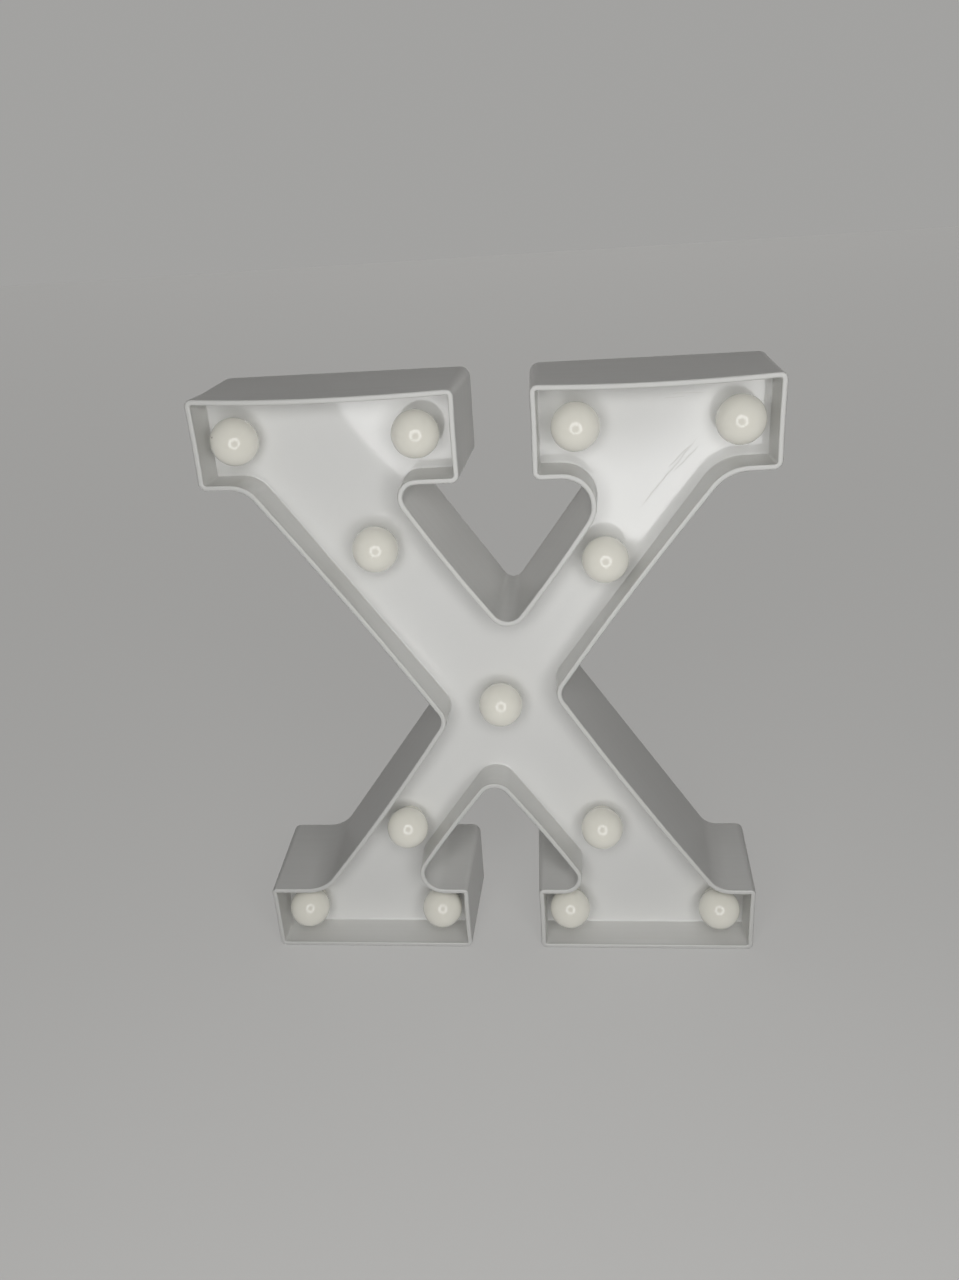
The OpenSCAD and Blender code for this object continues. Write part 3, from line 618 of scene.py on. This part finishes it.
# The globes: thirteen hollow balls of milky opal plastic, warmer than the shell and softly shaded.
# Each one stands on a low collar and snaps into its hole in the face by the neck behind it.
globe_r = 7.9 * mm
globe_colour = (0.85, 0.834, 0.76, 1)
globe_softness = 0.45
globe_shine = 0.48


def moulded_plastic(name, colour, roughness, tone_drift, polish_drift, ripple, grain):
    """A plain moulding's material, made from the moulded skin."""
    material, tree, shader = new_material(name)
    skin = place_group(
        tree, moulded_skin, Colour=colour, Roughness=roughness, Tone_drift=tone_drift,
        Polish_drift=polish_drift, Ripple=ripple, Grain=grain,
    )
    tree.links.new(skin.outputs["Colour"], shader.inputs["Base Color"])
    tree.links.new(skin.outputs["Roughness"], shader.inputs["Roughness"])
    add_bump(tree, shader, skin.outputs["Height"], skin_bump, skin_relief)
    return material


globe_opal = moulded_plastic(
    "globe_opal_white", globe_colour, roughness=0.02, tone_drift=0.25, polish_drift=0, ripple=0, grain=0
)
globe_tree = globe_opal.node_tree
globe_shader = globe_tree.nodes["Principled BSDF"]
globe_shader.inputs["Specular IOR Level"].default_value = globe_shine
globe_shader.inputs["Diffuse Roughness"].default_value = globe_softness

# A dark speck is moulded into the first globe, on its left side
speck_r = 0.4 * mm
speck_core = 0.4 * speck_r
speck_way = Vector((-0.7033, -0.6195, 0.3487))
speck_colour = (0.12, 0.1, 0.075, 1)
first_low, first_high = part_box("globe_1")
first_middle = (first_low + first_high) / 2
first_middle.y = first_low.y + globe_r
speck_place = first_middle + speck_way * globe_r
globe_place = globe_tree.nodes.new("ShaderNodeTexCoord")
from_speck = add_vector_math(globe_tree, "DISTANCE", globe_place.outputs["Object"], speck_place)
speck = add_range(globe_tree, from_speck, speck_core, speck_r, 1, 0)
clean_tone = globe_shader.inputs["Base Color"].links[0].from_socket
speckled = add_mix(globe_tree, "MIX", speck, clean_tone, speck_colour)
globe_tree.links.new(speckled, globe_shader.inputs["Base Color"])


def dress(node, material):
    """Gives a CAD node its material."""
    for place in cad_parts[node].material_slots:
        place.material = material


for i in range(1, globe_count + 1):
    dress(f"globe_{i}", globe_opal)

# The LEDs: round lamps of warm yellow resin, one behind each globe, pushed into its neck.
# Their legs are soldered to the wires behind the face, out of sight.
led_colour = (0.8, 0.74, 0.5, 1)
led_resin = moulded_plastic(
    "led_clear_resin", led_colour, roughness=0.12, tone_drift=0.2, polish_drift=0.05, ripple=0.1, grain=0.01
)
for i in range(1, globe_count + 1):
    dress(f"led_{i}", led_resin)

# The wires: two nets of insulated wire behind the face, red and black, and a lead to the switch.
# They are soldered to the legs of the LEDs, and the cover hides them.
sleeve_red = (0.42, 0.02, 0.015, 1)
sleeve_black = (0.015, 0.015, 0.017, 1)


def wire_sleeve(name, colour):
    return moulded_plastic(
        name, colour, roughness=0.45, tone_drift=0.6, polish_drift=0.1, ripple=0.3, grain=0.05
    )


wire_red = wire_sleeve("wire_red_sleeve", sleeve_red)
wire_black = wire_sleeve("wire_black_sleeve", sleeve_black)
dress("harness_pos", wire_red)
dress("harness_neg", wire_black)
dress("switch_lead", wire_black)

# The back cover and the battery door: matt white mouldings with a spark-eroded grain.
# The cover drops into the back of the shell, and the door swings on two pins in its well.
cover_colour = (0.7, 0.7, 0.695, 1)
cover_edge_r = 0.25 * mm
cover_edge_angle = 50
cover_white = moulded_plastic(
    "cover_matt_white", cover_colour, roughness=0.5, tone_drift=0.5, polish_drift=0.1, ripple=0.4, grain=0.35
)
for node in ("back_cover", "battery_door"):
    dress(node, cover_white)
    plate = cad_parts[node]
    joined = plate.modifiers.new("joined_faces", "WELD")
    joined.merge_threshold = same_place
    edges = plate.modifiers.new("soft_edges", "BEVEL")
    edges.width = cover_edge_r
    edges.segments = 2
    edges.limit_method = "ANGLE"
    edges.angle_limit = math.radians(cover_edge_angle)

# The cells and their contacts: two plain sleeved cells in the well, between nickel-plated sheets.
# The contacts are pressed from thin strip, with bent leaves that push on the cells.


def brushed_metal_group():
    """Plated or drawn metal: fine lines along one way, and a slow drift of tone and polish."""
    group, given, made = new_group(
        "brushed_metal",
        [
            ("Colour", "NodeSocketColor", (0.6, 0.6, 0.6, 1)),
            ("Roughness", "NodeSocketFloat", 0.3),
            ("Brushing", "NodeSocketFloat", 0.2),
        ],
        [("Colour", "NodeSocketColor"), ("Roughness", "NodeSocketFloat"), ("Height", "NodeSocketFloat")],
    )
    brush_stretch = (1, 1, 0.06)
    dull_tone = (0.8, 0.8, 0.8, 1)
    lines = add_noise(group, scale=900, detail=3, stretch=brush_stretch)
    drift = add_noise(group, scale=240, detail=4)
    dulled = add_mix(group, "MULTIPLY", drift, given.outputs["Colour"], dull_tone)
    group.links.new(dulled, made.inputs["Colour"])
    spread = add_math(group, "MULTIPLY", lines, given.outputs["Brushing"])
    group.links.new(add_math(group, "ADD", given.outputs["Roughness"], spread), made.inputs["Roughness"])
    group.links.new(lines, made.inputs["Height"])
    return group


brushed_metal = brushed_metal_group()
brushed_bump = 0.15
brushed_relief = 0.02 * mm


def plated_metal(name, colour, roughness, brushing):
    """A plated piece's material, made from the brushed metal."""
    material, tree, shader = new_material(name)
    metal = place_group(tree, brushed_metal, Colour=colour, Roughness=roughness, Brushing=brushing)
    tree.links.new(metal.outputs["Colour"], shader.inputs["Base Color"])
    tree.links.new(metal.outputs["Roughness"], shader.inputs["Roughness"])
    shader.inputs["Metallic"].default_value = 1
    add_bump(tree, shader, metal.outputs["Height"], brushed_bump, brushed_relief)
    return material


nickel_colour = (0.62, 0.6, 0.56, 1)
nickel = plated_metal("contact_nickel", nickel_colour, roughness=0.25, brushing=0.2)
for node in ("contact_neg", "contact_pos", "contact_bridge", "switch_pins"):
    dress(node, nickel)
sleeve_colour = (0.05, 0.06, 0.075, 1)
steel_colour = (0.6, 0.6, 0.6, 1)
bare_end = 1.8 * mm
sleeve_lip = 0.15 * mm


def dress_cell(node):
    """A plain dark film shrunk round a steel can, with both ends of the can left bare."""
    low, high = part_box(node)
    material, tree, shader = new_material(f"{node}_film_and_ends")
    coordinates = tree.nodes.new("ShaderNodeTexCoord")
    height = add_vector_math(tree, "DOT_PRODUCT", coordinates.outputs["Object"], (0, 0, 1))
    foot = add_range(tree, height, low.z + bare_end - sleeve_lip, low.z + bare_end, 1, 0)
    head = add_range(tree, height, high.z - bare_end, high.z - bare_end + sleeve_lip)
    bare = add_math(tree, "MAXIMUM", foot, head)
    film = place_group(
        tree, moulded_skin, Colour=sleeve_colour, Roughness=0.32, Tone_drift=0.5, Polish_drift=0.1,
        Ripple=0.2, Grain=0.02,
    )
    steel = place_group(tree, brushed_metal, Colour=steel_colour, Roughness=0.25, Brushing=0.2)
    colour = add_mix(tree, "MIX", bare, film.outputs["Colour"], steel.outputs["Colour"])
    roughness = add_mix(tree, "MIX", bare, film.outputs["Roughness"], steel.outputs["Roughness"])
    tree.links.new(colour, shader.inputs["Base Color"])
    tree.links.new(roughness, shader.inputs["Roughness"])
    tree.links.new(bare, shader.inputs["Metallic"])
    add_bump(tree, shader, film.outputs["Height"], skin_bump, skin_relief)
    dress(node, material)


for node in ("battery_1", "battery_2"):
    dress_cell(node)

# The slide switch: a satin black knob in a small pressed frame, screwed to posts behind the cover.
# Only the knob shows, in its slot under the battery door, with grooves across it for the finger nail.
knob_w = 3.6 * mm
knob_l = 4 * mm
knob_edge_r = 0.15 * mm
slider_t = 1.4 * mm
groove_w = 0.5 * mm
groove_pitch = 1.1 * mm
groove_depth = 0.45 * mm
groove_end = 0.4 * mm
knob_low, knob_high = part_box("switch_knob")
knob_middle = (knob_low + knob_high) / 2
bpy.ops.object.select_all(action="DESELECT")
bpy.ops.mesh.primitive_cube_add(size=1)
knob = bpy.context.object
knob.name = "switch_knob_grooved"
bpy.ops.object.mode_set(mode="EDIT")
bpy.ops.transform.resize(value=(knob_w, knob_high.y - knob_low.y, knob_l))
bpy.ops.transform.translate(value=knob_middle)
groove_places = [knob_middle.z + step * groove_pitch for step in (-1, 0, 1)]
cuts = [((knob_middle.x + side * (knob_w / 2 - groove_end), 0, 0), (1, 0, 0)) for side in (-1, 1)]
cuts += [((0, 0, z + side * groove_w / 2), (0, 0, 1)) for z in groove_places for side in (-1, 1)]
for place, normal in cuts:
    bpy.ops.mesh.select_all(action="SELECT")
    bpy.ops.mesh.bisect(plane_co=place, plane_no=normal)


def select_faces(piece, wanted):
    """Selects the faces for which wanted is true, given each one's middle and normal, and no others."""
    bpy.ops.mesh.select_mode(type="FACE")
    bpy.ops.mesh.select_all(action="DESELECT")
    edited = bmesh.from_edit_mesh(piece.data)
    for face in edited.faces:
        if wanted(face.calc_center_median(), face.normal):
            face.select_set(True)
    bmesh.update_edit_mesh(piece.data)


facing_limit = 0.9


def in_groove(middle, normal):
    across = abs(middle.x - knob_middle.x) < knob_w / 2 - groove_end
    along = any(abs(middle.z - z) < groove_w / 2 for z in groove_places)
    return normal.y > facing_limit and across and along


select_faces(knob, in_groove)
bpy.ops.mesh.extrude_region_move(TRANSFORM_OT_translate={"value": (0, -groove_depth, 0)})
bpy.ops.mesh.select_all(action="DESELECT")
bpy.ops.mesh.primitive_cube_add(size=1)
bpy.ops.transform.resize(value=(knob_high.x - knob_low.x, slider_t, knob_high.z - knob_low.z))
bpy.ops.transform.translate(value=(knob_middle.x, knob_low.y + slider_t / 2, knob_middle.z))
bpy.ops.object.mode_set(mode="OBJECT")


def round_edges(piece, radius, segments=2, angle=40):
    """Rounds every edge sharper than the angle, then shades the piece smooth."""
    bpy.context.view_layer.objects.active = piece
    edges = piece.modifiers.new("soft_edges", "BEVEL")
    edges.width = radius
    edges.segments = segments
    edges.limit_method = "ANGLE"
    edges.angle_limit = math.radians(angle)
    bpy.ops.object.modifier_apply(modifier=edges.name)
    smooth(piece)


round_edges(knob, knob_edge_r)
switch_colour = (0.035, 0.035, 0.037, 1)
knob_colour = (0.018, 0.018, 0.018, 1)
switch_satin = moulded_plastic(
    "switch_satin_grey", switch_colour, roughness=0.4, tone_drift=0.5, polish_drift=0.1, ripple=0.3, grain=0.1
)
knob_black = moulded_plastic(
    "knob_satin_black", knob_colour, roughness=0.38, tone_drift=0.5, polish_drift=0.1, ripple=0.3, grain=0.15
)
knob.data.materials.append(knob_black)
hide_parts("switch_knob")
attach(knob, "knob")
dress("switch_frame", switch_satin)

# The screws: six pan heads hold the cover to the posts of the shell, two smaller ones the switch.
# They are zinc-plated steel, cold headed with a cross recess, and each stopped at its own angle.
head_r = 2.5 * mm
head_h = 1.5 * mm
head_segments = 48
head_side = 0.5
dome_steps = [(0.96, 0.22), (0.9, 0.15), (0.82, 0.09), (0.64, 0.04)]
shank_r = 1.3 * mm
shank_l = 6.6 * mm
point_l = 1.4 * mm
point_share = 0.2
recess_w = 0.7 * mm
recess_reach = 1.6 * mm
recess_depth = 0.85 * mm
recess_foot = 0.6
stop_angles = (20, 75, 48, 5, 62, 33)
zinc_colour = (0.55, 0.55, 0.56, 1)
zinc = plated_metal("screw_zinc", zinc_colour, roughness=0.28, brushing=0.15)
bpy.ops.object.select_all(action="DESELECT")
bpy.ops.mesh.primitive_cylinder_add(vertices=head_segments, radius=head_r, depth=head_side * head_h)
screw = bpy.context.object
bpy.ops.object.mode_set(mode="EDIT")
bpy.ops.transform.translate(value=(0, 0, head_side * head_h / 2))
select_faces(screw, lambda middle, normal: normal.z > facing_limit)
for narrowing, rise in dome_steps:
    bpy.ops.mesh.extrude_region_move(TRANSFORM_OT_translate={"value": (0, 0, rise * head_h)})
    bpy.ops.transform.resize(value=(narrowing, narrowing, 1))
select_faces(screw, lambda middle, normal: normal.z < -facing_limit)
bpy.ops.mesh.inset(thickness=head_r - shank_r)
bpy.ops.mesh.extrude_region_move(TRANSFORM_OT_translate={"value": (0, 0, -shank_l)})
bpy.ops.mesh.extrude_region_move(TRANSFORM_OT_translate={"value": (0, 0, -point_l)})
bpy.ops.transform.resize(value=(point_share, point_share, 1))
bpy.ops.object.mode_set(mode="OBJECT")

for turn in (0, math.pi / 2):
    bpy.ops.object.select_all(action="DESELECT")
    bpy.ops.mesh.primitive_cube_add(size=1)
    blade = bpy.context.object
    bpy.ops.object.mode_set(mode="EDIT")
    bpy.ops.transform.resize(value=(2 * recess_reach, recess_w, 2 * recess_depth))
    bpy.ops.transform.translate(value=(0, 0, head_h))
    select_faces(blade, lambda middle, normal: normal.z < -facing_limit)
    bpy.ops.transform.resize(value=(recess_foot, recess_foot, 1))
    bpy.ops.object.mode_set(mode="OBJECT")
    blade.data.transform(Matrix.Rotation(turn, 4, "Z"))
    bpy.context.view_layer.objects.active = screw
    recess = screw.modifiers.new("cross_recess", "BOOLEAN")
    recess.operation = "DIFFERENCE"
    recess.object = blade
    bpy.ops.object.modifier_apply(modifier=recess.name)
    bpy.data.objects.remove(blade)

screw_smooth_angle = 30
smooth(screw, screw_smooth_angle)
screw.data.materials.append(zinc)
lying = Matrix.Rotation(-math.pi / 2, 4, "X")
for k, (x, z) in enumerate(post_places):
    turned_in = Matrix.Rotation(math.radians(stop_angles[k]), 4, "Z")
    copied = screw.copy()
    copied.data = screw.data.copy()
    copied.name = f"cover_screw_{k + 1}"
    copied.data.transform(Matrix.Translation((x, y_cover, z)) @ lying @ turned_in)
    bpy.context.scene.collection.objects.link(copied)
    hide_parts("cover_screws")
    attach(copied, "letter")
bpy.data.objects.remove(screw)
dress("switch_screws", zinc)

# The stage: a plain pale floor, and a plain pale surround with a faint soft light and a glow from behind.
floor_size = 12
floor_colour = (0.2, 0.198, 0.194, 1)
floor_glow_colour = (1, 0.992, 0.97, 1)
floor_glow = 0.315
floor_roughness = 0.9
floor_shine = 0.1
bpy.ops.object.select_all(action="DESELECT")
bpy.ops.mesh.primitive_plane_add(size=floor_size)
floor = bpy.context.object
floor.name = "floor"
floor_finish, floor_tree, floor_shader = new_material("floor_pale")
floor_shader.inputs["Base Color"].default_value = floor_colour
floor_shader.inputs["Roughness"].default_value = floor_roughness
floor_shader.inputs["Specular IOR Level"].default_value = floor_shine


def add_seen(tree):
    """One for rays that look at a thing, straight or by reflection or through glass, and nought for light."""
    ray = tree.nodes.new("ShaderNodeLightPath")
    seen = add_math(tree, "ADD", ray.outputs["Is Camera Ray"], ray.outputs["Is Glossy Ray"])
    return add_math(tree, "ADD", seen, ray.outputs["Is Transmission Ray"])


floor_lift = add_math(floor_tree, "MULTIPLY", add_seen(floor_tree), floor_glow)
floor_shader.inputs["Emission Color"].default_value = floor_glow_colour
floor_tree.links.new(floor_lift, floor_shader.inputs["Emission Strength"])
floor.data.materials.append(floor_finish)

ambient_colour = (1, 0.97, 0.93, 1)
ambient_strength = 0.05
back_fill = 5
back_fill_from = 0.72
back_fill_flatness = 3.2
surround_colour = (0.365, 0.362, 0.354, 1)
world = bpy.data.worlds.new("studio")
bpy.context.scene.world = world
world.use_nodes = True
sky = world.node_tree
ambient = sky.nodes["Background"]
ambient.inputs["Color"].default_value = ambient_colour
looking = sky.nodes.new("ShaderNodeTexCoord")
flattened = add_vector_math(sky, "MULTIPLY", looking.outputs["Generated"], (1, 1, back_fill_flatness))
heading = sky.nodes.new("ShaderNodeVectorMath")
heading.operation = "NORMALIZE"
sky.links.new(flattened, heading.inputs[0])
towards_back = add_vector_math(sky, "DOT_PRODUCT", heading.outputs["Vector"], (0, 1, 0))
strongest = ambient_strength + back_fill
ambient_light = add_range(sky, towards_back, back_fill_from, 1, ambient_strength, strongest)
sky.links.new(ambient_light, ambient.inputs["Strength"])
surround = sky.nodes.new("ShaderNodeBackground")
surround.inputs["Color"].default_value = surround_colour
choice = sky.nodes.new("ShaderNodeMixShader")
sky.links.new(add_seen(sky), choice.inputs[0])
sky.links.new(ambient.outputs[0], choice.inputs[1])
sky.links.new(surround.outputs[0], choice.inputs[2])
sky.links.new(choice.outputs[0], sky.nodes["World Output"].inputs["Surface"])

# The camera stands in front, above the letter and a little to its right, and looks down on it.
camera_place = Vector((30 * mm, y_front - 307.7 * mm, 271 * mm))
camera_pan = 0.11144
camera_tilt = -0.41476
camera_roll = 0.06796
camera_lens = 27.59
camera_data = bpy.data.cameras.new("camera")
camera_data.lens = camera_lens
camera_data.sensor_width = 36
camera_data.sensor_fit = "AUTO"
camera_data.clip_start = 0.01
camera_data.clip_end = 40
camera = bpy.data.objects.new("camera", camera_data)
bpy.context.scene.collection.objects.link(camera)
upright = Matrix.Rotation(math.pi / 2, 4, "X")
aim = Matrix.Rotation(camera_pan, 4, "Z") @ Matrix.Rotation(camera_tilt, 4, "X")
rolled = Matrix.Rotation(camera_roll, 4, "Y")
camera.matrix_world = Matrix.Translation(camera_place) @ aim @ rolled @ upright
bpy.context.scene.camera = camera

# The lamp: one round soft panel round the camera, centred a little below it and lit as a ring.
# Two shares of its radius say where its light begins and from where it is full.
ring_r = 193 * mm
ring_dark = 0.37
ring_full = 0.7
ring_power = 1.66
ring_shift = (8 * mm, -80 * mm, 0)
ring_data = bpy.data.lights.new("ring_lamp", "AREA")
ring_data.shape = "DISK"
ring_data.size = 2 * ring_r
ring_data.energy = ring_power
ring_data.use_nodes = True
ring_tree = ring_data.node_tree
ring_place = ring_tree.nodes.new("ShaderNodeNewGeometry")
panel_middle = (0.5, 0.5, 0)
from_middle = add_vector_math(ring_tree, "DISTANCE", ring_place.outputs["Parametric"], panel_middle)
lit = add_range(ring_tree, from_middle, ring_dark / 2, ring_full / 2)
ring_tree.links.new(lit, ring_tree.nodes["Emission"].inputs["Strength"])
ring = bpy.data.objects.new("ring_lamp", ring_data)
bpy.context.scene.collection.objects.link(ring)
ring.matrix_world = camera.matrix_world @ Matrix.Translation(ring_shift)
ring.visible_camera = False

bpy.context.scene.view_settings.view_transform = "Standard"
